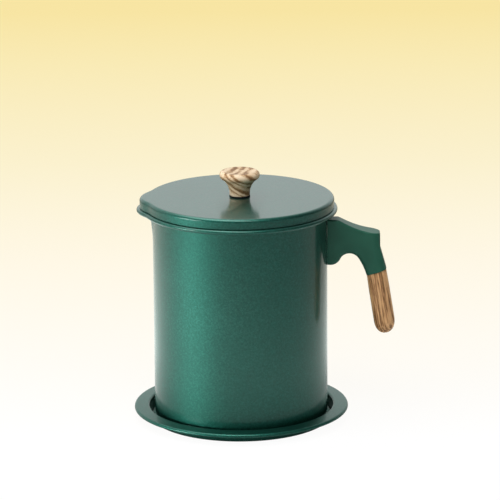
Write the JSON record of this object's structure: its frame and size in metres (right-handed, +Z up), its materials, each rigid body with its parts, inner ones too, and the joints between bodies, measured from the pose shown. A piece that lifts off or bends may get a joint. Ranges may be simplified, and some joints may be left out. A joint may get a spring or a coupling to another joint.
{
  "type": "bacon grease container",
  "caption": "Round metal grease pot with pouring spout, side handle with wood-look grip, beaked lid with turned knob, lift-out strainer cup and drip tray.",
  "frame": {"origin": "centre of the drip tray's underside, on the pot's axis", "axes": "+Z up along the pot's axis, +X towards the handle, -X towards the pouring spout, -Y towards the viewer of the picture"},
  "size_m": [0.1816, 0.1484, 0.1749],
  "materials": {
    "green_enamel": "pearl metallic enamel, gloss",
    "green_moulding": "satin",
    "knob_wood": "wood-look, satin lacquer",
    "grip_wood": "wood-look, satin lacquer",
    "black_rubber": "matt",
    "stainless_steel": "satin",
    "steel_mesh": "perforated",
    "brass": "turned"
  },
  "bodies": {
    "tray": {"drip_tray": "green_enamel"},
    "pot": {"pot_shell": "green_enamel", "handle_bracket": "stainless_steel", "handle_arm": "green_moulding", "handle_screw": "stainless_steel", "handle_grip": "grip_wood", "grip_stud": "stainless_steel"},
    "strainer": {"strainer_cup": "stainless_steel", "strainer_mesh": "steel_mesh", "strainer_ring": "stainless_steel"},
    "lid": {"lid_shell": "green_enamel", "lid_knob": "knob_wood", "knob_gasket": "black_rubber", "knob_insert": "brass", "knob_washer": "stainless_steel", "knob_screw": "stainless_steel"}
  },
  "joints": [
    {"name": "pot_lift", "type": "slide", "parent": "tray", "child": "pot", "axis": [0, 0, 1], "range_m": [0, 0.04]},
    {"name": "strainer_lift", "type": "slide", "parent": "pot", "child": "strainer", "axis": [0, 0, 1], "range_m": [0, 0.06]},
    {"name": "lid_lift", "type": "slide", "parent": "strainer", "child": "lid", "axis": [0, 0, 1], "range_m": [0, 0.05]}
  ]
}
